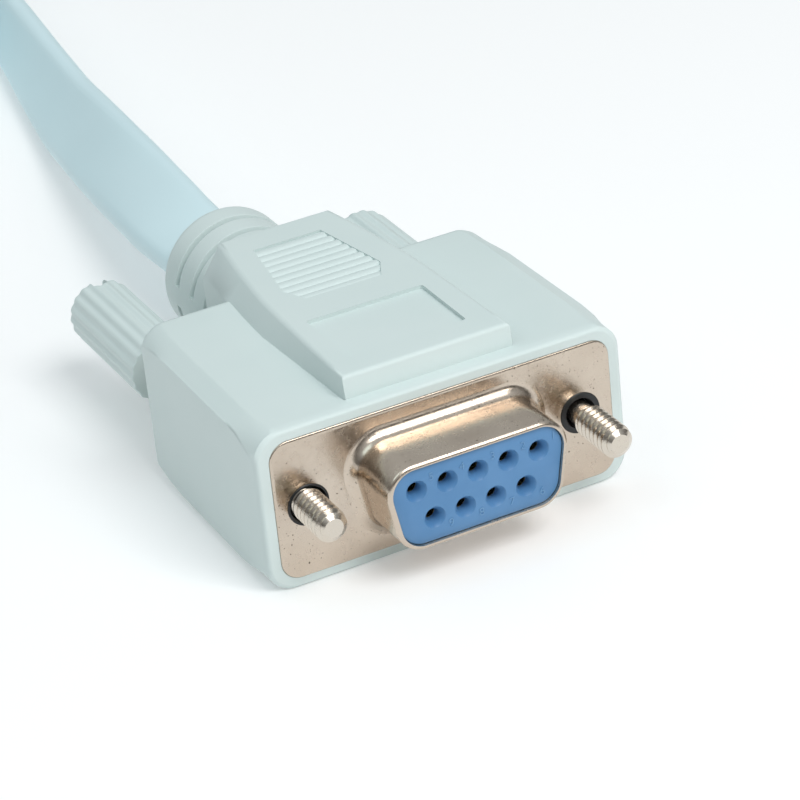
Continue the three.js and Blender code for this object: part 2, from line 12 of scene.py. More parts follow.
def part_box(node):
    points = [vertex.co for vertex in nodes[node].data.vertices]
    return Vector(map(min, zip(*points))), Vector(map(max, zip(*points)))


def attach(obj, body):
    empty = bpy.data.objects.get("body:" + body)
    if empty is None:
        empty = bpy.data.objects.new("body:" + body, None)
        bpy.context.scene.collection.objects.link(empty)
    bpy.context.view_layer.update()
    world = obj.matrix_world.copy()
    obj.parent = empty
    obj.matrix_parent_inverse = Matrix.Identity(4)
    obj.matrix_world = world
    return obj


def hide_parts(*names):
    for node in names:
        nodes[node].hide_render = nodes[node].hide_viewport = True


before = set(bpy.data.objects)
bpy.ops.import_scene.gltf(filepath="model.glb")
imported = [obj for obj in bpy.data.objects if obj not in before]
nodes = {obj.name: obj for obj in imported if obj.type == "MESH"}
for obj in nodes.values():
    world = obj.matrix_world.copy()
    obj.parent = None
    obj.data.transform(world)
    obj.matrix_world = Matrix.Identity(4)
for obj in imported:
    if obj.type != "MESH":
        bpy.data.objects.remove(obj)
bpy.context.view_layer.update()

MM = 0.001
FLANGE_THICKNESS = 0.8
shell_low, shell_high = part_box("connector_shell")
AXIS = Vector((0, shell_high.y - FLANGE_THICKNESS * MM, (shell_low.z + shell_high.z) / 2))
TO_FRAME = Matrix.Translation(AXIS) @ Matrix.Scale(MM, 4)


def in_frame(point):
    """A point in the connector's millimetres as a point of the frame, in metres."""
    return TO_FRAME @ Vector(point)


# Camera, as fitted to the contact holes, the screw axes and the flange's outline
CAMERA_AZIMUTH = math.radians(-24.494)
CAMERA_ELEVATION = math.radians(28.388)
CAMERA_ROLL = math.radians(-6.011)
CAMERA_DISTANCE = 296.725
CAMERA_RIGHT = 3.820
CAMERA_UP = -4.738
CAMERA_LENS = 165.0
CAMERA_SENSOR = 36.0


def make_camera():
    back = Vector((
        math.sin(CAMERA_AZIMUTH) * math.cos(CAMERA_ELEVATION),
        -math.cos(CAMERA_AZIMUTH) * math.cos(CAMERA_ELEVATION),
        math.sin(CAMERA_ELEVATION),
    ))
    level = Vector((0, 0, 1)).cross(back).normalized()
    upright = back.cross(level)
    right = level * math.cos(CAMERA_ROLL) + upright * math.sin(CAMERA_ROLL)
    up = upright * math.cos(CAMERA_ROLL) - level * math.sin(CAMERA_ROLL)
    place = in_frame(back * CAMERA_DISTANCE - right * CAMERA_RIGHT - up * CAMERA_UP)
    lens = bpy.data.cameras.new("camera")
    lens.lens = CAMERA_LENS
    lens.sensor_width = CAMERA_SENSOR
    lens.clip_start = 0.01
    camera = bpy.data.objects.new("camera", lens)
    turn = Matrix((right, up, back)).transposed().to_4x4()
    camera.matrix_world = Matrix.Translation(place) @ turn
    bpy.context.scene.collection.objects.link(camera)
    bpy.context.scene.camera = camera


make_camera()


# Materials

class Finish:
    """A node material with short ways to add the nodes that the finishes here need."""

    def __init__(self, name, colour, roughness, metallic=0.0):
        self.material = bpy.data.materials.new(name)
        self.material.use_nodes = True
        self.tree = self.material.node_tree
        self.shader = self.tree.nodes["Principled BSDF"]
        self.shader.inputs["Base Color"].default_value = (*colour, 1)
        self.shader.inputs["Roughness"].default_value = roughness
        self.shader.inputs["Metallic"].default_value = metallic
        self.places = self.tree.nodes.new("ShaderNodeTexCoord").outputs["Object"]

    def join(self, source, target):
        self.tree.links.new(source, target)

    def noise(self, size, detail=3.0, roughness=0.5, places=None):
        """Noise whose grains are about as large as size, in millimetres."""
        node = self.tree.nodes.new("ShaderNodeTexNoise")
        node.inputs["Scale"].default_value = 1 / (size * MM)
        node.inputs["Detail"].default_value = detail
        node.inputs["Roughness"].default_value = roughness
        self.join(places or self.places, node.inputs["Vector"])
        return node.outputs["Fac"]

    def ramp(self, value, stops):
        """A colour ramp: stops are pairs of a place and a colour or a grey level."""
        node = self.tree.nodes.new("ShaderNodeValToRGB")
        marks = node.color_ramp.elements
        while len(marks) < len(stops):
            marks.new(0.5)
        for mark, (place, colour) in zip(marks, stops):
            mark.position = place
            shade = (colour,) * 3 if isinstance(colour, (int, float)) else colour
            mark.color = (*shade, 1)
        self.join(value, node.inputs["Fac"])
        return node.outputs["Color"]

    def spread(self, value, low, high, to_low, to_high):
        """Brings a value from one range into another, and stops it at the ends."""
        node = self.tree.nodes.new("ShaderNodeMapRange")
        limits = {"From Min": low, "From Max": high, "To Min": to_low, "To Max": to_high}
        for name, number in limits.items():
            node.inputs[name].default_value = number
        self.join(value, node.inputs["Value"])
        return node.outputs["Result"]

    def mix(self, share, first, second, blend="MIX"):
        node = self.tree.nodes.new("ShaderNodeMix")
        node.data_type = "RGBA"
        node.blend_type = blend
        for name, value in (("Factor", share), ("A", first), ("B", second)):
            socket = node.inputs[name]
            if isinstance(value, (int, float)):
                socket.default_value = value
            elif isinstance(value, tuple):
                socket.default_value = (*value, 1)
            else:
                self.join(value, socket)
        return node.outputs["Result"]

    def add(self, first, second, operation="ADD"):
        node = self.tree.nodes.new("ShaderNodeMath")
        node.operation = operation
        for socket, value in zip(node.inputs, (first, second)):
            if isinstance(value, (int, float)):
                socket.default_value = value
            else:
                self.join(value, socket)
        return node.outputs["Value"]

    def colour(self, source):
        self.join(source, self.shader.inputs["Base Color"])

    def gloss(self, source):
        self.join(source, self.shader.inputs["Roughness"])

    def relief(self, height, depth, strength=1.0):
        """Bump whose full height is depth, in millimetres."""
        node = self.tree.nodes.new("ShaderNodeBump")
        node.inputs["Strength"].default_value = strength
        node.inputs["Distance"].default_value = depth * MM
        self.join(height, node.inputs["Height"])
        self.join(node.outputs["Normal"], self.shader.inputs["Normal"])


def hood_vinyl():
    """Soft moulded vinyl: pale aqua, satin, with a very fine grain and faint clouds."""
    finish = Finish("hood_vinyl", (0.635, 0.725, 0.712), 0.5)
    clouds = finish.noise(9, 2)
    finish.colour(finish.ramp(clouds, [(0.3, (0.625, 0.718, 0.705)), (0.7, (0.65, 0.735, 0.722))]))
    grain = finish.noise(0.12, 4, 0.6)
    finish.gloss(finish.spread(grain, 0.3, 0.7, 0.44, 0.56))
    finish.relief(finish.add(grain, finish.noise(0.9, 2)), 0.012, 0.5)
    finish.shader.inputs["Specular IOR Level"].default_value = 0.4
    return finish.material


def lead_vinyl():
    """Extruded jacket: a little bluer and smoother than the hood, with a faint fine grain."""
    finish = Finish("lead_vinyl", (0.66, 0.83, 0.87), 0.42)
    clouds = finish.noise(14, 2)
    finish.colour(finish.ramp(clouds, [(0.3, (0.65, 0.82, 0.86)), (0.7, (0.675, 0.845, 0.885))]))
    grain = finish.noise(0.15, 3, 0.6)
    finish.gloss(finish.spread(grain, 0.3, 0.7, 0.38, 0.48))
    finish.relief(grain, 0.008, 0.4)
    return finish.material


def nickel():
    """Bright nickel plate on pressed sheet: warm grey, with fine specks and soft streaks."""
    finish = Finish("nickel", (0.60, 0.51, 0.42), 0.22, 1.0)
    clouds = finish.noise(3.5, 3)
    plate = finish.ramp(clouds, [(0.3, (0.575, 0.485, 0.40)), (0.7, (0.63, 0.54, 0.45))])
    pits = finish.noise(0.22, 2, 0.4)
    marks = finish.spread(pits, 0.69, 0.74, 0, 1)
    finish.colour(finish.mix(marks, plate, (0.12, 0.09, 0.07)))
    grain = finish.noise(0.07, 3, 0.6)
    finish.gloss(finish.spread(finish.noise(0.6, 4), 0.3, 0.7, 0.16, 0.30))
    finish.relief(grain, 0.006, 0.6)
    return finish.material


def screw_steel():
    """Rolled thread, nickel plated and a little rubbed."""
    finish = Finish("screw_steel", (0.66, 0.595, 0.515), 0.2, 1.0)
    finish.gloss(finish.spread(finish.noise(0.3, 4), 0.3, 0.7, 0.12, 0.30))
    finish.relief(finish.noise(0.09, 3, 0.6), 0.008, 0.6)
    return finish.material


def insulator_blue():
    finish = Finish("insulator_blue", (0.085, 0.23, 0.45), 0.38)
    clouds = finish.noise(2.5, 3)
    finish.colour(finish.ramp(clouds, [(0.3, (0.083, 0.225, 0.44)), (0.7, (0.10, 0.25, 0.475))]))
    finish.relief(finish.noise(0.1, 3), 0.006, 0.5)
    return finish.material


def raised_blue():
    """The raised numbers, the insulator's blue lightened as a painted highlight for the light that catches
    their edges.
    """
    finish = Finish("raised_blue", (0.15, 0.32, 0.53), 0.36)
    finish.relief(finish.noise(0.1, 3), 0.006, 0.5)
    finish.gloss(finish.spread(finish.noise(0.4, 3), 0.3, 0.7, 0.32, 0.42))
    return finish.material


def black_rubber():
    finish = Finish("black_rubber", (0.012, 0.013, 0.014), 0.42)
    finish.gloss(finish.spread(finish.noise(0.4, 3), 0.3, 0.7, 0.34, 0.5))
    finish.relief(finish.noise(0.12, 3), 0.01, 0.5)
    return finish.material


def gold_flash(name, colour):
    finish = Finish(name, colour, 0.3, 1.0)
    finish.gloss(finish.spread(finish.noise(0.3, 3), 0.3, 0.7, 0.18, 0.34))
    return finish.material


def strap_fabric():
    """Black woven strap: fine cross threads with a fuzzy surface."""
    finish = Finish("strap_fabric", (0.02, 0.02, 0.022), 0.85)
    weave = finish.tree.nodes.new("ShaderNodeTexChecker")
    weave.inputs["Scale"].default_value = 1 / (0.35 * MM)
    weave.inputs["Color1"].default_value = (0.030, 0.030, 0.033, 1)
    weave.inputs["Color2"].default_value = (0.014, 0.014, 0.016, 1)
    finish.join(finish.places, weave.inputs["Vector"])
    fuzz = finish.noise(0.2, 5, 0.7)
    finish.colour(finish.mix(fuzz, weave.outputs["Color"], (0.045, 0.045, 0.05)))
    finish.relief(finish.add(weave.outputs["Fac"], fuzz), 0.08, 0.8)
    finish.shader.inputs["Sheen Weight"].default_value = 0.4
    finish.shader.inputs["Sheen Roughness"].default_value = 0.4
    return finish.material


def clear_plastic():
    finish = Finish("clear_plastic", (0.95, 0.975, 0.98), 0.06)
    finish.shader.inputs["Transmission Weight"].default_value = 0.95
    finish.shader.inputs["IOR"].default_value = 1.5
    finish.gloss(finish.spread(finish.noise(2.0, 3), 0.3, 0.7, 0.04, 0.12))
    finish.relief(finish.noise(1.2, 2), 0.01, 0.3)
    return finish.material


def core_plastic(name, colour):
    finish = Finish(name, colour, 0.4)
    finish.gloss(finish.spread(finish.noise(0.5, 2), 0.3, 0.7, 0.35, 0.48))
    return finish.material


hood_finish = hood_vinyl()
lead_finish = lead_vinyl()
nickel_finish = nickel()
steel_finish = screw_steel()
insulator_finish = insulator_blue()
digit_highlight_finish = raised_blue()
rubber_finish = black_rubber()
gold_finish = gold_flash("socket_gold", (0.42, 0.29, 0.13))
blade_finish = gold_flash("blade_gold", (0.86, 0.62, 0.27))
strap_finish = strap_fabric()
clear_finish = clear_plastic()


# Making and finishing meshes

def add_object(name, mesh):
    piece = bpy.data.objects.new(name, mesh)
    bpy.context.scene.collection.objects.link(piece)
    return piece


def finish_piece(name, bm, finish, body, stands_for=(), smooth=35):
    """Brings a bmesh to its place, shades it and hands it to the frame."""
    bmesh.ops.remove_doubles(bm, verts=bm.verts, dist=0.0005)
    bmesh.ops.recalc_face_normals(bm, faces=bm.faces)
    bm.transform(TO_FRAME)
    mesh = bpy.data.meshes.new(name)
    bm.to_mesh(mesh)
    bm.free()
    mesh.materials.append(finish)
    mesh.polygons.foreach_set("use_smooth", [True] * len(mesh.polygons))
    mesh.set_sharp_from_angle(angle=math.radians(smooth))
    piece = add_object(name, mesh)
    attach(piece, body)
    if stands_for:
        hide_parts(*stands_for)
    return piece


# The lead: one flat cord from the boot through the hank to the plug
FLOOR = -AXIS.z / MM
LEAD_WIDTH = 8.4
LEAD_THICKNESS = 2.5
BOOT_END = 43.3
LEAD_IN_BOOT = 4.4
TWIST_EASE = 1.25
HANK_TURNS = 5
HANK_PITCH = 3.0
HANK_RADIUS = 25.0
HANK_RUN = 80.0
HANK_NEAR_BEND = 136.0
HANK_CENTRE = -14.5
TIE_THICKNESS = 0.5
GAP = 0.3
PLUG_HEIGHT = 8.0
PLUG_LENGTH = 21.5
PLUG_FROM_BEND = 52.0
ENTRY_DEPTH = 9.0
LEAD_REST = FLOOR + TIE_THICKNESS + GAP + LEAD_WIDTH / 2
PLUG_BACK = HANK_NEAR_BEND + PLUG_FROM_BEND
ENTRY_MIDDLE = FLOOR + PLUG_HEIGHT / 2
LANE_X = HANK_CENTRE + HANK_RADIUS
TAIL_X = LANE_X - HANK_TURNS * HANK_PITCH

RUN_ROUTE = [
    (0, BOOT_END - LEAD_IN_BOOT, 0),
    (0, BOOT_END, 0),
    (0, BOOT_END + 3, 0),
    (0, BOOT_END + 6.5, 0),
    (0.1, BOOT_END + 11, -0.1),
    (0.5, BOOT_END + 15.5, -0.3),
    (1.0, BOOT_END + 20.5, -0.65),
    (1.6, BOOT_END + 26, -1.05),
    (2.1, BOOT_END + 31, -1.4),
    (2.7, BOOT_END + 36, -1.8),
    (3.4, BOOT_END + 41.5, -2.3),
    (4.1, BOOT_END + 47, -2.8),
    (4.9, BOOT_END + 52.5, -2.9),
    (5.8, BOOT_END + 59, -2.8),
    (6.8, BOOT_END + 66, LEAD_REST - 0.35),
    (7.9, BOOT_END + 74, LEAD_REST - 0.1),
    (9.0, BOOT_END + 81.5, LEAD_REST),
    (LANE_X - 0.5, HANK_NEAR_BEND - 5.5, LEAD_REST),
    (LANE_X, HANK_NEAR_BEND, LEAD_REST),
]
TAIL_ROUTE = [
    (TAIL_X, HANK_NEAR_BEND, LEAD_REST),
    (TAIL_X - 0.5, HANK_NEAR_BEND + 9, LEAD_REST),
    (TAIL_X - 2.6, HANK_NEAR_BEND + 18, LEAD_REST - 0.1),
    (HANK_CENTRE + 4.2, HANK_NEAR_BEND + 28, LEAD_REST - 0.3),
    (HANK_CENTRE + 1.2, HANK_NEAR_BEND + 38, ENTRY_MIDDLE + 0.2),
    (HANK_CENTRE, PLUG_BACK - 4, ENTRY_MIDDLE),
    (HANK_CENTRE, PLUG_BACK + ENTRY_DEPTH - 1, ENTRY_MIDDLE),
]


def smooth_route(points, spacing):
    """Stations along a centripetal Catmull-Rom curve through listed points."""
    route = [Vector(p) for p in points]
    ends = [2 * route[0] - route[1], *route, 2 * route[-1] - route[-2]]
    stations = [route[0]]
    for a, b, c, d in zip(ends, ends[1:], ends[2:], ends[3:]):
        knots = [0.0]
        for first, second in ((a, b), (b, c), (c, d)):
            knots.append(knots[-1] + math.sqrt((second - first).length))
        steps = max(1, round((c - b).length / spacing))
        for step in range(1, steps + 1):
            t = knots[1] + (knots[2] - knots[1]) * step / steps
            ab = a.lerp(b, (t - knots[0]) / (knots[1] - knots[0]))
            bc = b.lerp(c, (t - knots[1]) / (knots[2] - knots[1]))
            cd = c.lerp(d, (t - knots[2]) / (knots[3] - knots[2]))
            abc = ab.lerp(bc, (t - knots[0]) / (knots[2] - knots[0]))
            bcd = bc.lerp(cd, (t - knots[1]) / (knots[3] - knots[1]))
            stations.append(abc.lerp(bcd, (t - knots[1]) / (knots[2] - knots[1])))
    return stations


def hank_stations(spacing):
    """Stations of the five turns. Each half turn brings the lead half a pitch further in."""
    quarter = HANK_PITCH / 4
    far_bend = HANK_NEAR_BEND + HANK_RUN
    stations = []
    for turn in range(HANK_TURNS):
        radius = HANK_RADIUS - turn * HANK_PITCH
        runs = round(HANK_RUN / (4 * spacing))
        for step in range(1, runs + 1):
            along = HANK_NEAR_BEND + HANK_RUN * step / runs
            stations.append(Vector((HANK_CENTRE + radius, along, LEAD_REST)))
        arc = round(math.pi * radius / spacing)
        for step in range(1, arc + 1):
            angle = math.pi * step / arc
            reach = radius - quarter
            across = HANK_CENTRE + quarter + reach * math.cos(angle)
            stations.append(Vector((across, far_bend + reach * math.sin(angle), LEAD_REST)))
        for step in range(1, runs + 1):
            across = HANK_CENTRE - radius + 2 * quarter
            stations.append(Vector((across, far_bend - HANK_RUN * step / runs, LEAD_REST)))
        for step in range(1, arc + 1):
            angle = math.pi + math.pi * step / arc
            reach = radius - 3 * quarter
            across = HANK_CENTRE - quarter + reach * math.cos(angle)
            stations.append(Vector((across, HANK_NEAR_BEND + reach * math.sin(angle), LEAD_REST)))
    return stations


def travelled(stations):
    """How far along the route each station lies."""
    distances = [0.0]
    for first, second in zip(stations, stations[1:]):
        distances.append(distances[-1] + (second - first).length)
    return distances


def twist(distances, start, end, turn_from, turn_to):
    """Turn of the lead's width at each station, changing between two shares of the way."""
    turns = []
    for distance in distances:
        share = (distance / distances[-1] - start) / (end - start)
        eased = 1 - (1 - min(max(share, 0), 1)) ** TWIST_EASE
        turns.append(turn_from + (turn_to - turn_from) * eased)
    return turns


def lead_section(width, thickness):
    """Corner points of the flat section, with round narrow edges."""
    points = []
    radius = thickness / 2
    straight = width / 2 - radius
    for side in (1, -1):
        for step in range(9):
            angle = math.pi * (step / 8 - 0.5) + (0 if side > 0 else math.pi)
            points.append((side * straight + radius * math.cos(angle), radius * math.sin(angle)))
        for step in range(1, 6):
            points.append((side * straight * (1 - step / 3), side * radius))
    return points


def station_frame(stations, i, turn):
    """Where the section stands at a station, and how it is turned."""
    before = stations[max(i - 1, 0)]
    after = stations[min(i + 1, len(stations) - 1)]
    forward = (after - before).normalized()
    level = Vector((forward.y, -forward.x, 0)).normalized()
    up = level.cross(forward)
    across = level * math.cos(turn) + up * math.sin(turn)
    over = up * math.cos(turn) - level * math.sin(turn)
    axes = Matrix((across, over, -forward)).transposed().to_4x4()
    return Matrix.Translation(stations[i]) @ axes


def make_lead():
    run = smooth_route(RUN_ROUTE, 1.5)
    hank = hank_stations(1.6)
    tail = smooth_route(TAIL_ROUTE, 1.5)
    upright = math.pi / 2
    turns = twist(travelled(run), 0.05, 0.97, 0, upright)
    turns += [upright] * len(hank)
    turns += twist(travelled(tail), 0.03, 0.76, upright, 0)[1:]
    stations = run + hank + tail[1:]

    bm = bmesh.new()
    ring = [bm.verts.new((x, y, 0)) for x, y in lead_section(LEAD_WIDTH, LEAD_THICKNESS)]
    edges = [bm.edges.new((a, b)) for a, b in zip(ring, ring[1:] + ring[:1])]
    bmesh.ops.contextual_create(bm, geom=edges)
    place = station_frame(stations, 0, turns[0])
    bmesh.ops.transform(bm, matrix=place, verts=ring)
    for i in range(1, len(stations)):
        made = bmesh.ops.extrude_edge_only(bm, edges=edges)["geom"]
        ring = [v for v in made if isinstance(v, bmesh.types.BMVert)]
        fresh = set(ring)
        edges = [e for e in made if isinstance(e, bmesh.types.BMEdge) and set(e.verts) <= fresh]
        following = station_frame(stations, i, turns[i])
        bmesh.ops.transform(bm, matrix=following @ place.inverted(), verts=ring)
        place = following
    bmesh.ops.contextual_create(bm, geom=edges)
    solids = ["lead_run", "lead_hank", "lead_tail"]
    lead = finish_piece("lead", bm, lead_finish, "connector", solids, 60)
    return lead, [in_frame(p) for p in stations]


lead, lead_path = make_lead()


# Shapes that several pieces share

def ring_of(bm, points):
    """A closed ring of edges through points."""
    verts = [bm.verts.new(point) for point in points]
    return [bm.edges.new(pair) for pair in zip(verts, verts[1:] + verts[:1])]


def lofted(rings, capped=True):
    """A skin through rings of points, closed at both ends or joined round to its start."""
    bm = bmesh.new()
    loops = [ring_of(bm, ring) for ring in rings]
    for first, second in zip(loops, loops[1:]):
        bmesh.ops.bridge_loops(bm, edges=first + second)
    if capped:
        bmesh.ops.contextual_create(bm, geom=loops[0])
        bmesh.ops.contextual_create(bm, geom=loops[-1])
    else:
        bmesh.ops.bridge_loops(bm, edges=loops[-1] + loops[0])
    return bm


def at_station(outline, y):
    """A flat outline in X and Z, set at a station along Y."""
    return [(x, y, z) for x, z in outline]


def circle(radius, count, x=0.0, z=0.0):
    angles = [2 * math.pi * i / count for i in range(count)]
    return [(x + radius * math.cos(a), z + radius * math.sin(a)) for a in angles]


def rounded_rectangle(width, height, corner, steps=8):
    points = []
    for x, z, start in ((1, 1, 0), (-1, 1, 1), (-1, -1, 2), (1, -1, 3)):
        middle_x = x * (width / 2 - corner)
        middle_z = z * (height / 2 - corner)
        for step in range(steps + 1):
            angle = math.pi / 2 * (start + step / steps)
            points.append((middle_x + corner * math.cos(angle), middle_z + corner * math.sin(angle)))
    return points


def turned(profile, sides, x=0.0, z=0.0):
    """A turned body: pairs of radius and station, from axis to axis or closed on itself."""
    bm = bmesh.new()
    verts = [bm.verts.new((x + radius, y, z)) for radius, y in profile]
    edges = [bm.edges.new(pair) for pair in zip(verts, verts[1:])]
    bmesh.ops.spin(bm, geom=verts + edges, cent=(x, 0, z), axis=(0, 1, 0), angle=2 * math.pi,
                   steps=sides, use_merge=True)
    bmesh.ops.remove_doubles(bm, verts=bm.verts, dist=0.0005)
    return bm


def prism(outline, start, end):
    return lofted([at_station(outline, start), at_station(outline, end)])


def joined(*bodies):
    """Several bmeshes as the loose parts of one."""
    whole = bmesh.new()
    for bm in bodies:
        mesh = bpy.data.meshes.new("loose")
        bmesh.ops.recalc_face_normals(bm, faces=bm.faces)
        bm.to_mesh(mesh)
        bm.free()
        whole.from_mesh(mesh)
        bpy.data.meshes.remove(mesh)
    return whole


def combined(body, tool, operation):
    """Joins or cuts one closed bmesh with another: UNION, DIFFERENCE or INTERSECT."""
    objects = []
    for bm in (body, tool):
        bmesh.ops.recalc_face_normals(bm, faces=bm.faces)
        mesh = bpy.data.meshes.new("working")
        bm.to_mesh(mesh)
        bm.free()
        objects.append(add_object("working", mesh))
    change = objects[0].modifiers.new("change", "BOOLEAN")
    change.operation = operation
    change.object = objects[1]
    change.solver = "EXACT"
    change.use_hole_tolerant = False
    result = bmesh.new()
    evaluated = objects[0].evaluated_get(bpy.context.evaluated_depsgraph_get())
    result.from_mesh(evaluated.to_mesh())
    for working in objects:
        mesh = working.data
        bpy.data.objects.remove(working)
        bpy.data.meshes.remove(mesh)
    return result


def sharp_edges(bm, degrees):
    limit = math.radians(degrees)
    return [e for e in bm.edges if e.is_manifold and e.calc_face_angle(0) > limit]


def round_edges(bm, edges, width, segments):
    bmesh.ops.bevel(bm, geom=edges, offset=width, offset_type="OFFSET", affect="EDGES", segments=segments,
                    profile=0.5, material=-1, clamp_overlap=True)


def even_shading(piece):
    """Keeps flat faces flat next to their rounded edges."""
    piece.modifiers.new("even shading", "WEIGHTED_NORMAL").keep_sharp = True


# Straps round the hank: one woven band each, its free end laid over the start
TIE_CORNER = 0.95
FREE_END_START = 0.35
FREE_END_LENGTH = 0.75
FREE_END_LIFT = 0.5
LIFT_STARTS = 0.75


def band(path, width, thickness, closed):
    """A flat band whose middle follows a path in X and Z, with its width along Y."""
    rings = []
    for i, (x, y, z) in enumerate(path):
        before = Vector(path[i - 1] if closed or i else path[0])
        after = Vector(path[(i + 1) % len(path)] if closed or i + 1 < len(path) else path[-1])
        forward = (after - before).normalized()
        out = Vector((forward.z, 0, -forward.x)) * thickness / 2
        soft = thickness / 4
        ring = []
        for side, level in ((-1, -1), (1, -1), (1, 1), (-1, 1)):
            corners = ((0, 0.5), (soft, 1)) if side * level > 0 else ((soft, 1), (0, 0.5))
            for inset, share in corners:
                ring.append(Vector((x, y + side * (width / 2 - inset), z)) + out * level * share)
        rings.append(ring)
    return lofted(rings, capped=not closed)


def make_tie(name):
    low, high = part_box(name)
    low, high = [(corner - AXIS) / MM for corner in (low, high)]
    middle = (low + high) / 2
    size = high - low
    loop = rounded_rectangle(size.x - TIE_THICKNESS, size.z - TIE_THICKNESS, TIE_CORNER, 6)
    around = [(x + middle.x, middle.y, z + middle.z) for x, z in loop]
    strap = band(around, size.y, TIE_THICKNESS, True)
    over = high.z + TIE_THICKNESS / 2 - 0.05
    flap = []
    steps = 14
    for step in range(steps + 1):
        share = step / steps
        lift = FREE_END_LIFT * (max(share - LIFT_STARTS, 0) / (1 - LIFT_STARTS)) ** 2
        across = middle.x + size.x * (FREE_END_LENGTH * share - FREE_END_START)
        flap.append((across, middle.y, over + lift))
    free_end = band(flap, size.y - 0.5, TIE_THICKNESS, False)
    both = joined(strap, free_end)
    return finish_piece(f"{name}_strap", both, strap_finish, "connector", [name], 40)


# Clear plug: softened copy of its solid, with the eight cores inside it
CORE_COLOURS = [
    ("blue", (0.03, 0.10, 0.40)), ("orange", (0.70, 0.20, 0.02)), ("black", (0.015, 0.015, 0.015)),
    ("red", (0.50, 0.02, 0.02)), ("green", (0.02, 0.25, 0.06)), ("yellow", (0.75, 0.55, 0.03)),
    ("brown", (0.16, 0.06, 0.02)), ("grey", (0.30, 0.30, 0.30)),
]
CORE_PITCH = 1.02
CORE_RADIUS = 0.44
CORE_RISE = 0.3
BLADE_END = 20.0
PLUG_EDGE_ROUND = 0.09


def make_plug_body():
    bm = bmesh.new()
    bm.from_mesh(nodes["plug_body"].data)
    bm.transform(TO_FRAME.inverted())
    bmesh.ops.remove_doubles(bm, verts=bm.verts, dist=0.002)
    bmesh.ops.dissolve_limit(bm, angle_limit=math.radians(1), verts=bm.verts, edges=bm.edges)
    round_edges(bm, sharp_edges(bm, 25), PLUG_EDGE_ROUND, 2)
    return finish_piece("clear_plug", bm, clear_finish, "connector", ["plug_body"], 40)


def make_cores():
    cores = []
    start = PLUG_BACK + ENTRY_DEPTH - 1.3
    end = PLUG_BACK + BLADE_END
    for i, (colour_name, colour) in enumerate(CORE_COLOURS):
        x = HANK_CENTRE + (i - (len(CORE_COLOURS) - 1) / 2) * CORE_PITCH
        profile = [(0, start), (CORE_RADIUS, start), (CORE_RADIUS, end - 0.1),
                   (CORE_RADIUS - 0.1, end), (0, end)]
        core = turned(profile, 20, x, ENTRY_MIDDLE + CORE_RISE)
        finish = core_plastic(f"core_{colour_name}", colour)
        cores.append(finish_piece(f"core_{i + 1}", core, finish, "connector"))
    return cores


carried = [make_tie("tie_left"), make_tie("tie_right"), make_plug_body(), *make_cores()]
carried += [node for name, node in nodes.items() if name.startswith("plug_contact_")]


# Hood: shoulders, raised ridge and boot in one moulding
hood_low, hood_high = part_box("hood")
HOOD_HALF_WIDTH = hood_high.x / MM
RIDGE_TOP = (hood_high.z - AXIS.z) / MM
HOOD_FRONT = (hood_low.y - AXIS.y) / MM
HOOD_TAPER = 0.4
HOOD_CORNER = 2.4
HOOD_EDGE_RUN = 1.7
HOOD_EDGE_DROP = 0.9
SHOULDER_DEPTH = 24.1
RIDGE_RISE = 1.95
SHOULDER_TOP = RIDGE_TOP - RIDGE_RISE
RIDGE_SINK = 0.2
RIDGE_FRONT = 1.6
RIDGE_FRONT_SLOPE = 0.3
RIDGE_MIDDLE = 15.5
RIDGE_END = 30.4
RIDGE_FOOT_DROP = 0.9
RELIEF_OFFSET = -0.3
LABEL_WIDTH = 10.8
LABEL_FRONT = 4.6
LABEL_BACK = 12.4
LABEL_DEPTH = 0.35
GRIP_BACK = 27.1
GRIP_LENGTH = 8.7
GRIP_NOSE = 2.3
GRIP_WIDTH_NOSE = 7.0
GRIP_WIDTH_FRONT = 9.15
GRIP_WIDTH_BACK = 6.4
GRIP_RIBS = 10
GRIP_DEPTH = 0.28
RIB_SINK = 0.06
BOOT_WIDTH = 12.1
BOOT_HEIGHT = 12.3
BOOT_RIM_ROUND = 1.0
GROOVE_WIDTH = 0.75
GROOVE_DEPTH = 1.1
SCREW_X = 12.495
FLANGE_WIDTH = 30.9
FLANGE_HEIGHT = 12.5
FLANGE_CORNER = 1.7
BORE_RADIUS = 1.72
SEAT_DEPTH = 0.9
SHOULDER_LIP = 0.35
SHOULDER_REAR_ROUND = 1.1


def shoulder_outline(half_width, roundness):
    """The shoulder's section: bevelled long edges, which turn into round corners at the lip."""
    steps = 8
    points = []
    for x, z, start in ((1, 1, 0), (-1, 1, 1), (-1, -1, 2), (1, -1, 3)):
        side = Vector((half_width, SHOULDER_TOP - HOOD_EDGE_DROP))
        top = Vector((half_width - HOOD_EDGE_RUN, SHOULDER_TOP))
        for step in range(steps + 1):
            share = step / steps if start % 2 == 0 else 1 - step / steps
            angle = math.pi / 2 * share
            arc = Vector((
                half_width - HOOD_CORNER * (1 - math.cos(angle)),
                SHOULDER_TOP - HOOD_CORNER * (1 - math.sin(angle)),
            ))
            point = side.lerp(top, share).lerp(arc, roundness)
            points.append((x * point.x, z * point.y))
    return points


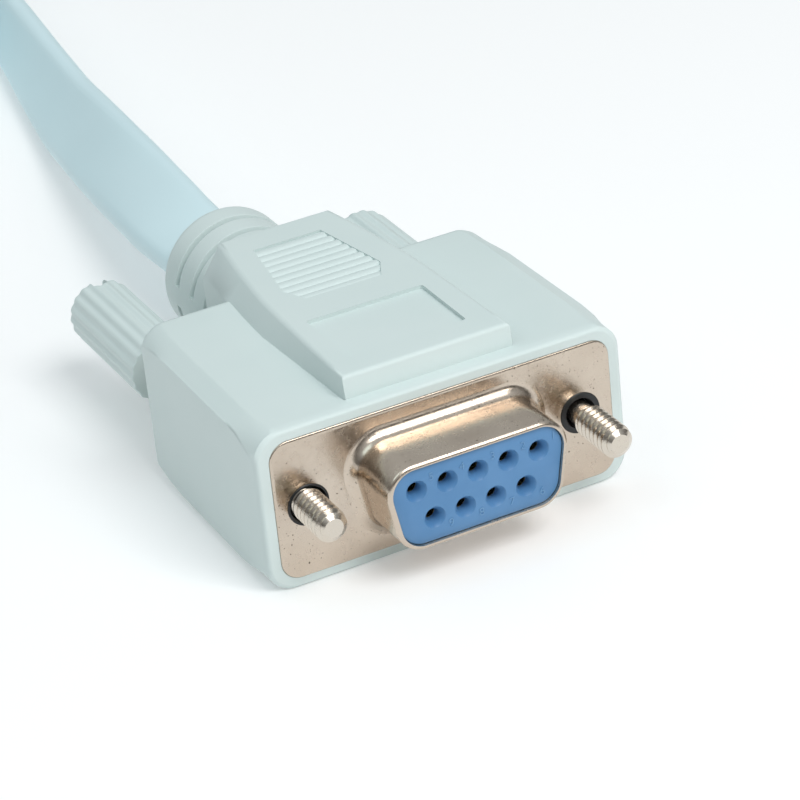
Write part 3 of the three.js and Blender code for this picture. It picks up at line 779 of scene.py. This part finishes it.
def shoulders():
    def half_width(y):
        return HOOD_HALF_WIDTH - HOOD_TAPER * (y - HOOD_FRONT) / (SHOULDER_DEPTH - HOOD_FRONT)

    lip = SHOULDER_LIP
    stations = [(HOOD_FRONT, -lip, 1), (HOOD_FRONT + 0.1, -0.55 * lip, 1), (HOOD_FRONT + lip, 0, 1)]
    stations += [(1.2, 0, 0.9), (2.4, 0, 0.5), (4.0, 0, 0.12), (6.0, 0, 0), (18.0, 0, 0), (20.5, 0, 0.15)]
    rear = SHOULDER_REAR_ROUND
    for step in range(5):
        angle = math.pi / 2 * step / 4
        roundness = 0.5 + 0.3 * step / 4
        inset = -rear * (1 - math.cos(angle))
        stations.append((SHOULDER_DEPTH - rear + rear * math.sin(angle), inset, roundness))
    rings = []
    for y, inset, roundness in stations:
        outline = shoulder_outline(half_width(y), roundness)
        reach = Vector((half_width(y), SHOULDER_TOP))
        rings.append([(x * (1 + inset / reach.x), y, z * (1 + inset / reach.y)) for x, z in outline])
    return lofted(rings)


def ridge_ring(y, top_half, foot_half, top, foot):
    bottom = RIDGE_FOOT_DROP - SHOULDER_TOP
    outline = [(foot_half, bottom), (foot_half, foot), (top_half, top)]
    return at_station(outline + [(-x, z) for x, z in reversed(outline)], y)


def ridge():
    foot = SHOULDER_TOP - RIDGE_SINK
    start = RIDGE_FRONT + RIDGE_FRONT_SLOPE
    rings = [ridge_ring(RIDGE_FRONT, 7.6, 7.75, SHOULDER_TOP, foot)]
    widths = [(start, 7.6, 7.8), (RIDGE_MIDDLE, 7.1, 8.5), (RIDGE_END, 5.25, 7.2)]
    for (y, top, low), (next_y, next_top, next_low) in zip(widths, widths[1:]):
        for step in range(6):
            share = step / 6
            eased = share if y == start else share ** 1.4
            rings.append(ridge_ring(y + (next_y - y) * share, top + (next_top - top) * eased,
                                    low + (next_low - low) * eased, RIDGE_TOP, foot))
    rings.append(ridge_ring(RIDGE_END, 5.25, 7.2, RIDGE_TOP, SHOULDER_TOP - RIDGE_FOOT_DROP))
    bm = lofted(rings)
    high = [e for e in sharp_edges(bm, 20) if all(v.co.z > SHOULDER_TOP + 0.1 for v in e.verts)]
    round_edges(bm, high, 0.35, 3)
    rear = [e for e in sharp_edges(bm, 60) if all(v.co.y > RIDGE_END - 0.01 for v in e.verts)]
    round_edges(bm, rear, 0.3, 2)
    return bm


def boot():
    """The grooved strain relief: half-round grooves, joined by bridges at the sides."""
    sides = 96
    half = GROOVE_WIDTH / 2
    grooves = [(34.0, None, 3.0), (37.0, 1.2, -0.7), (40.0, 1.2, -0.7)]
    stations = [(SHOULDER_DEPTH - 2, 0.0)]
    for y, _, _ in grooves:
        stations += [(y - half, 0.0), (y + half, 0.0)]
    for step in range(6):
        angle = math.pi / 2 * step / 5
        inset = BOOT_RIM_ROUND * (1 - math.cos(angle))
        stations.append((BOOT_END - BOOT_RIM_ROUND * (1 - math.sin(angle)), inset))
    rings = []
    for y, inset in stations:
        across = (BOOT_WIDTH / 2 - inset) / (BOOT_WIDTH / 2)
        outline = [(x * BOOT_WIDTH / 2 * across, z * BOOT_HEIGHT / 2 * across) for x, z in circle(1, sides)]
        rings.append(at_station(outline, y))
    bm = lofted(rings)
    for y, above, below in grooves:
        cut = []
        for face in bm.faces:
            middle = face.calc_center_median()
            if abs(middle.y - y) > 0.1 or face.calc_area() > 5:
                continue
            if (above is not None and middle.z > above) or middle.z < below:
                cut.append(face)
        made = bmesh.ops.extrude_face_region(bm, geom=cut)["geom"]
        bmesh.ops.delete(bm, geom=cut, context="FACES_ONLY")
        floor = [v for v in made if isinstance(v, bmesh.types.BMVert)]
        shrink = 1 - GROOVE_DEPTH / (BOOT_HEIGHT / 2)
        bmesh.ops.scale(bm, vec=(shrink, 1, shrink), verts=floor)
    rim = [e for e in sharp_edges(bm, 60) if math.hypot(*e.verts[0].co.xz) > BOOT_WIDTH / 2 - 0.2
           and math.hypot(*e.verts[1].co.xz) > BOOT_WIDTH / 2 - 0.2]
    round_edges(bm, rim, 0.12, 2)
    return bm


def grip_cutter():
    """Round ribs across the ridge with narrow grooves between, all a little below its surface."""
    widest = GRIP_BACK - GRIP_LENGTH
    front = widest - GRIP_NOSE
    half_outline = [(GRIP_WIDTH_BACK, GRIP_BACK), (GRIP_WIDTH_FRONT, widest), (GRIP_WIDTH_NOSE, front)]
    outline = [(RELIEF_OFFSET + width / 2, y) for width, y in half_outline]
    outline += [(RELIEF_OFFSET - width / 2, y) for width, y in reversed(half_outline)]
    block = lofted([[(x, y, z) for x, y in outline] for z in (RIDGE_TOP - 1, RIDGE_TOP + 1)])
    pitch = (GRIP_LENGTH + GRIP_NOSE) / GRIP_RIBS
    steps = 12
    wave = []
    for i in range(GRIP_RIBS * steps + 1):
        across_rib = 2 * (i % steps) / steps - 1
        sunk = RIB_SINK + (GRIP_DEPTH - RIB_SINK) * abs(across_rib) ** 3
        wave.append((front + pitch * i / steps, RIDGE_TOP - sunk))
    wave += [(GRIP_BACK + 1, RIDGE_TOP - GRIP_DEPTH), (GRIP_BACK + 1, RIDGE_TOP + 0.8),
             (front - 1, RIDGE_TOP + 0.8), (front - 1, RIDGE_TOP - GRIP_DEPTH)]
    slab = lofted([[(x, y, z) for y, z in wave] for x in (-GRIP_WIDTH_FRONT, GRIP_WIDTH_FRONT)])
    return combined(slab, block, "INTERSECT")


def label_cutter():
    outline = rounded_rectangle(LABEL_WIDTH, LABEL_BACK - LABEL_FRONT, 0.25, 3)
    middle = (LABEL_BACK + LABEL_FRONT) / 2
    rings = [[(x + RELIEF_OFFSET, y + middle, z) for x, y in outline]
             for z in (RIDGE_TOP - LABEL_DEPTH, RIDGE_TOP + 1)]
    return lofted(rings)


def make_hood():
    body = combined(shoulders(), ridge(), "UNION")
    body = combined(body, boot(), "UNION")
    flange_seat = rounded_rectangle(FLANGE_WIDTH + 0.06, FLANGE_HEIGHT + 0.06, FLANGE_CORNER + 0.03)
    mouth = rounded_rectangle(LEAD_WIDTH + 0.06, LEAD_THICKNESS + 0.06, LEAD_THICKNESS / 2)
    cutters = [
        prism(flange_seat, -1, SEAT_DEPTH),
        prism(mouth, BOOT_END - LEAD_IN_BOOT - GAP, BOOT_END + 1),
        label_cutter(),
        grip_cutter(),
    ]
    for side in (-1, 1):
        cutters.append(prism(circle(BORE_RADIUS, 48, side * SCREW_X), SEAT_DEPTH / 2, SHOULDER_DEPTH + 1))
    body = combined(body, cutters[0], "DIFFERENCE")
    body = combined(body, joined(*cutters[1:]), "DIFFERENCE")
    hood = finish_piece("moulded_hood", body, hood_finish, "connector", ["hood"], 40)
    even_shading(hood)


make_hood()


# Nickel plated shell: flange with its holes, and the drawn D with a round root
SHELL_WIDTH = 16.33
SHELL_HEIGHT = 7.9
SHELL_DEPTH = 5.75
SHELL_WALL = 0.4
SHELL_CORNER = 2.5
SHELL_SLANT = math.radians(10)
ROOT_ROUND = 1.1
RIM_ROUND = 0.42
FLANGE_HOLE = 1.85
DISH_DEPTH = 0.13
DISH_REACH = 2.2


def d_outline(grow, steps=14):
    """The D, wide side on top, grown outwards by some millimetres."""
    corner = SHELL_CORNER + grow
    top = SHELL_HEIGHT / 2 - SHELL_CORNER
    upper = SHELL_WIDTH / 2 - SHELL_CORNER
    lower = upper - 2 * top * math.tan(SHELL_SLANT)
    points = []
    for x, z, start, end in (
        (upper, top, -SHELL_SLANT, math.pi / 2),
        (-upper, top, math.pi / 2, math.pi + SHELL_SLANT),
        (-lower, -top, math.pi + SHELL_SLANT, 1.5 * math.pi),
        (lower, -top, 1.5 * math.pi, 2 * math.pi - SHELL_SLANT),
    ):
        for step in range(steps + 1):
            angle = start + (end - start) * step / steps
            points.append((x + corner * math.cos(angle), z + corner * math.sin(angle)))
    return points


def drawn_d():
    """The D's wall: round root on the flange, round rim in front, and its inner side."""
    front = -SHELL_DEPTH
    rings = []
    steps = 7
    for step in range(steps + 1):
        angle = math.pi / 2 * step / steps
        grow = ROOT_ROUND * (1 - math.sin(angle))
        rings.append(at_station(d_outline(grow), 0.02 - ROOT_ROUND * (1 - math.cos(angle))))
    for step in range(1, 6):
        angle = math.pi / 2 * step / 5
        grow = -RIM_ROUND * (1 - math.cos(angle))
        rings.append(at_station(d_outline(grow), front + RIM_ROUND * (1 - math.sin(angle))))
    rings.append(at_station(d_outline(-SHELL_WALL - 0.05), front + 0.06))
    rings.append(at_station(d_outline(-SHELL_WALL - 0.05), FLANGE_THICKNESS - 0.05))
    rings.append(at_station(d_outline(ROOT_ROUND), FLANGE_THICKNESS - 0.05))
    return lofted(rings, capped=False)


def flange_plate():
    """The flange as a fine grid, so that it can be dished round its holes."""
    bm = bmesh.new()
    columns, rows = 104, 42
    turn = Matrix.Rotation(math.pi / 2, 4, "X")
    bmesh.ops.create_grid(bm, x_segments=columns, y_segments=rows, size=0.5, matrix=turn)
    bmesh.ops.scale(bm, vec=(FLANGE_WIDTH + 2, 1, FLANGE_HEIGHT + 2), verts=bm.verts)
    made = bmesh.ops.extrude_face_region(bm, geom=bm.faces[:])["geom"]
    back = [v for v in made if isinstance(v, bmesh.types.BMVert)]
    bmesh.ops.translate(bm, vec=(0, FLANGE_THICKNESS, 0), verts=back)
    edge = 0.05
    outline = []
    for y, inset in ((-1, edge), (0, edge), (edge, 0), (FLANGE_THICKNESS + 1, 0)):
        grown = rounded_rectangle(FLANGE_WIDTH - 2 * inset, FLANGE_HEIGHT - 2 * inset, FLANGE_CORNER - inset)
        outline.append(at_station(grown, y))
    bm = combined(bm, lofted(outline), "INTERSECT")
    cutters = [prism(d_outline(ROOT_ROUND - 0.02), -1, FLANGE_THICKNESS + 1)]
    for side in (-1, 1):
        cutters.append(prism(circle(FLANGE_HOLE, 64, side * SCREW_X), -1, FLANGE_THICKNESS + 1))
    return combined(bm, joined(*cutters), "DIFFERENCE")


def make_shell():
    bm = combined(flange_plate(), drawn_d(), "UNION")
    for vert in bm.verts:
        for side in (-1, 1):
            away = math.hypot(vert.co.x - side * SCREW_X, vert.co.z) - FLANGE_HOLE
            if vert.co.y > -0.5 and away < DISH_REACH:
                vert.co.y += DISH_DEPTH * (1 - away / DISH_REACH) ** 2
    finish_piece("drawn_shell", bm, nickel_finish, "connector", ["connector_shell"], 50)


make_shell()


# Blue insulator with countersunk holes and raised contact numbers
INSULATOR_FRONT = -5.5
INSULATOR_TAIL = 4.0
CONTACT_PITCH = 2.77
ROW_PITCH = 2.84
COUNTERSINK = 0.95
COUNTERSINK_DEPTH = 0.42
CONTACT_BORE = 0.6
DIGIT_BESIDE = 1.38
DIGIT_ABOVE = 0.9
DIGIT_BELOW = 0.95


def contact_places():
    """Number, x and z of each contact, numbered as seen from the front."""
    places = [(5 - i, (i - 2) * CONTACT_PITCH, ROW_PITCH / 2) for i in range(5)]
    places += [(9 - i, (i - 1.5) * CONTACT_PITCH, -ROW_PITCH / 2) for i in range(4)]
    return places


def raised_digit(number, x, z):
    """A digit of thin strokes, standing a little proud of the insulator's face."""
    words = bpy.data.curves.new("digit", "FONT")
    words.body = str(number)
    words.size = 1.0
    words.align_x = "CENTER"
    words.align_y = "CENTER"
    words.offset = -0.012
    words.extrude = 0.05
    holder = add_object("digit", words)
    bm = bmesh.new()
    bm.from_mesh(holder.evaluated_get(bpy.context.evaluated_depsgraph_get()).to_mesh())
    bpy.data.objects.remove(holder)
    bpy.data.curves.remove(words)
    bmesh.ops.remove_doubles(bm, verts=bm.verts, dist=0.0005)
    stand = Matrix.Translation((x, INSULATOR_FRONT - 0.01, z)) @ Matrix.Rotation(math.pi / 2, 4, "X")
    bm.transform(stand)
    return bm


def make_insulator():
    inset = SHELL_WALL + 0.08
    soft = 0.1
    rings = [
        at_station(d_outline(-inset - soft), INSULATOR_FRONT),
        at_station(d_outline(-inset - 0.3 * soft), INSULATOR_FRONT + 0.3 * soft),
        at_station(d_outline(-inset), INSULATOR_FRONT + soft),
        at_station(d_outline(-inset), INSULATOR_TAIL),
    ]
    body = lofted(rings)
    holes = []
    digits = []
    end = INSULATOR_FRONT + 3
    for number, x, z in contact_places():
        profile = [(0, INSULATOR_FRONT - 1), (COUNTERSINK, INSULATOR_FRONT - 1),
                   (COUNTERSINK, INSULATOR_FRONT), (CONTACT_BORE, INSULATOR_FRONT + COUNTERSINK_DEPTH),
                   (CONTACT_BORE, end), (0, end)]
        holes.append(turned(profile, 40, x, z))
        rise = DIGIT_ABOVE if z > 0 else -DIGIT_BELOW
        digits.append(raised_digit(number, x + DIGIT_BESIDE, z + rise))
    body = combined(body, joined(*holes), "DIFFERENCE")
    finish_piece("blue_insulator", body, insulator_finish, "connector",
                 ["insulator"], 40)
    finish_piece("contact_numbers", joined(*digits), digit_highlight_finish, "connector", (), 30)


make_insulator()


# Black washers that sit in the flange holes
def make_washer(name, side, inner):
    outer = FLANGE_HOLE - 0.02
    profile = [(inner, 1.0), (inner, 0.55), (inner + 0.05, 0.42), (inner + 0.14, 0.3), (inner + 0.16, 0.12),
               (inner + 0.2, 0.05), (outer - 0.05, 0.05), (outer, 0.1), (outer, 1.0), (inner, 1.0)]
    bm = turned(profile, 64, side * SCREW_X)
    finish_piece(f"{name}_ring", bm, rubber_finish, "connector", [name], 40)


make_washer("washer_left", -1, 1.46)
make_washer("washer_right", 1, 1.16)


# Thumbscrews: a steel screw with a real thread, and a fluted knob
THREAD_RADIUS = 1.42
THREAD_ROOT = 1.06
THREAD_PITCH = 0.635
THREAD_LENGTH = 5.2
NECK_RADIUS = 1.05
TIP_RADIUS = 0.84
KNOB_FLUTES = 18
KNOB_FLUTE_DEPTH = 0.16
KNOB_EDGE = 0.15
KNOB_END_ROUND = 0.95
DRIVER_SLOT = (1.3, 3.0, 12)
DRIVER_SLOT_ROUND = 0.2


def threaded_rod(x, tip):
    """Thread and core as one helical skin, longer than needed at both ends."""
    turns = round((THREAD_LENGTH + 3 * THREAD_PITCH) / THREAD_PITCH)
    start = tip - THREAD_PITCH
    shape = [(0.0, THREAD_ROOT), (0.12, THREAD_ROOT), (0.44, THREAD_RADIUS), (0.56, THREAD_RADIUS),
             (0.88, THREAD_ROOT)]
    profile = []
    for turn in range(turns):
        profile += [(radius, start + (turn + share) * THREAD_PITCH) for share, radius in shape]
    profile.append((THREAD_ROOT, start + turns * THREAD_PITCH))
    steps = 40
    bm = bmesh.new()
    verts = [bm.verts.new((x + radius, y, 0)) for radius, y in profile]
    edges = [bm.edges.new(pair) for pair in zip(verts, verts[1:])]
    bmesh.ops.spin(bm, geom=verts + edges, cent=(x, 0, 0), axis=(0, 1, 0), angle=2 * math.pi,
                   dvec=(0, THREAD_PITCH / steps, 0), steps=steps, use_merge=False)
    bmesh.ops.remove_doubles(bm, verts=bm.verts, dist=0.002)
    open_edges = [e for e in bm.edges if e.is_boundary]
    bmesh.ops.holes_fill(bm, edges=open_edges, sides=0)
    return bm


def make_screw(name, body, side):
    low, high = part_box(name)
    tip = (low.y - AXIS.y) / MM
    end = (high.y - AXIS.y) / MM
    x = side * SCREW_X
    thread_end = tip + THREAD_LENGTH
    envelope = turned([(0, tip), (TIP_RADIUS, tip), (THREAD_RADIUS + 0.02, tip + 0.5),
                       (THREAD_RADIUS + 0.02, thread_end - 0.3), (THREAD_ROOT - 0.1, thread_end + 0.15),
                       (0, thread_end + 0.15)], 64, x)
    thread = combined(threaded_rod(x, tip), envelope, "INTERSECT")
    neck = turned([(0, tip + 0.5), (THREAD_ROOT - 0.03, tip + 0.5), (THREAD_ROOT - 0.03, thread_end),
                   (NECK_RADIUS, thread_end + 0.1), (NECK_RADIUS, end), (0, end)], 48, x)
    bm = combined(thread, neck, "UNION")
    finish_piece(f"{name}_thread", bm, steel_finish, body, [name], 35)


def knob_outline(radius, flute_depth):
    count = KNOB_FLUTES * 12
    points = []
    for i in range(count):
        angle = 2 * math.pi * i / count
        wave = 0.5 + 0.5 * math.cos(angle * KNOB_FLUTES)
        reach = radius - flute_depth * (1 - wave)
        points.append((reach * math.cos(angle), reach * math.sin(angle)))
    return points


def make_knob(name, body, side, slot_turn):
    low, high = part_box(name)
    front = (low.y - AXIS.y) / MM
    back = (high.y - AXIS.y) / MM
    radius = (high.z - low.z) / MM / 2
    soft = KNOB_EDGE
    stations = [
        (front, radius - soft - 0.05, KNOB_FLUTE_DEPTH / 2),
        (front + 0.3 * soft, radius - 0.3 * soft, 0.75 * KNOB_FLUTE_DEPTH),
        (front + soft, radius, KNOB_FLUTE_DEPTH),
    ]
    for step in range(6):
        angle = math.pi / 2 * step / 5
        stations.append((
            back - KNOB_END_ROUND * (1 - math.sin(angle)),
            radius - KNOB_END_ROUND * (1 - math.cos(angle)),
            KNOB_FLUTE_DEPTH * (1 - 0.75 * step / 5),
        ))
    rings = [at_station(knob_outline(reach, depth), y) for y, reach, depth in stations]
    bm = lofted(rings)
    bore = prism(circle(NECK_RADIUS + 0.05, 40), front - 1, front + 11)
    bm = combined(bm, bore, "DIFFERENCE")
    slot = bmesh.new()
    bmesh.ops.create_cube(slot, size=1)
    bmesh.ops.scale(slot, vec=DRIVER_SLOT, verts=slot.verts)
    floor_edges = [e for e in slot.edges if all(v.co.y < 0 for v in e.verts)]
    round_edges(slot, floor_edges, DRIVER_SLOT_ROUND, 3)
    bmesh.ops.rotate(slot, cent=(0, 0, 0), matrix=Matrix.Rotation(slot_turn, 3, "Y"), verts=slot.verts)
    bmesh.ops.translate(slot, vec=(0, back, 0), verts=slot.verts)
    bm = combined(bm, slot, "DIFFERENCE")
    bmesh.ops.translate(bm, vec=(side * SCREW_X, 0, 0), verts=bm.verts)
    knob = finish_piece(f"{name}_fluted", bm, hood_finish, body, [name], 40)
    even_shading(knob)


for side, end_name, slot_turn in ((-1, "left", 0.0), (1, "right", 1.25)):
    make_screw(f"screw_{end_name}", f"thumbscrew_{end_name}", side)
    make_knob(f"knob_{end_name}", f"thumbscrew_{end_name}", side, slot_turn)


# Contacts and blades keep their solids and get a finish of gold
for name, node in nodes.items():
    if name.startswith(("contact_", "plug_contact_")):
        node.data.materials.clear()
        node.data.materials.append(blade_finish if name.startswith("plug_") else gold_finish)


# Plain studio: pale floor, light sky and soft boxes
def pale_floor():
    finish = Finish("pale_floor", (0.86, 0.86, 0.86), 0.8)
    finish.shader.inputs["Emission Color"].default_value = (1, 1, 1, 1)
    finish.shader.inputs["Emission Strength"].default_value = 0.17
    return finish.material


def make_floor():
    bm = bmesh.new()
    bmesh.ops.create_grid(bm, x_segments=1, y_segments=1, size=3)
    mesh = bpy.data.meshes.new("floor")
    bm.to_mesh(mesh)
    bm.free()
    mesh.materials.append(pale_floor())
    add_object("floor", mesh)


def area_light(name, place, aim, size, power, colour=(1, 1, 1)):
    lamp = bpy.data.lights.new(name, "AREA")
    lamp.shape = "RECTANGLE"
    lamp.size, lamp.size_y = size
    lamp.energy = power
    lamp.color = colour
    light = bpy.data.objects.new(name, lamp)
    direction = Vector(place) - Vector(aim)
    light.matrix_world = Matrix.Translation(place) @ direction.to_track_quat("Z", "Y").to_matrix().to_4x4()
    bpy.context.scene.collection.objects.link(light)


def make_studio():
    """A dim horizon that grows lighter overhead, with three soft boxes."""
    world = bpy.data.worlds.new("studio")
    world.use_nodes = True
    bpy.context.scene.world = world
    tree = world.node_tree
    sky = tree.nodes["Background"]
    direction = tree.nodes.new("ShaderNodeTexCoord")
    axes = tree.nodes.new("ShaderNodeSeparateXYZ")
    height = tree.nodes.new("ShaderNodeValToRGB")
    tree.links.new(direction.outputs["Generated"], axes.inputs["Vector"])
    tree.links.new(axes.outputs["Z"], height.inputs["Fac"])
    tree.links.new(height.outputs["Color"], sky.inputs["Color"])
    shades = height.color_ramp
    shades.elements[0].color = (0.07, 0.065, 0.06, 1)
    shades.elements[0].position = 0.02
    shades.elements[1].color = (0.62, 0.66, 0.68, 1)
    shades.elements.new(0.25).color = (0.20, 0.205, 0.205, 1)
    shades.elements.new(0.5).color = (0.40, 0.42, 0.43, 1)
    sky.inputs["Strength"].default_value = 1.0
    area_light("left box", (-0.36, -0.05, 0.48), (0, 0, 0.01), (0.35, 0.35), 0.4, (0.74, 0.96, 1.0))
    area_light("right box", (0.22, -0.48, 0.285), (0, 0, 0.01), (0.2, 0.14), 0.32, (1.0, 0.97, 0.92))
    area_light("front box", (0.1, -0.42, 0.57), (0, 0, 0.01), (0.4, 0.3), 2.65)
    view = bpy.context.scene.view_settings
    view.view_transform = "Standard"
    view.look = "None"


make_floor()
make_studio()
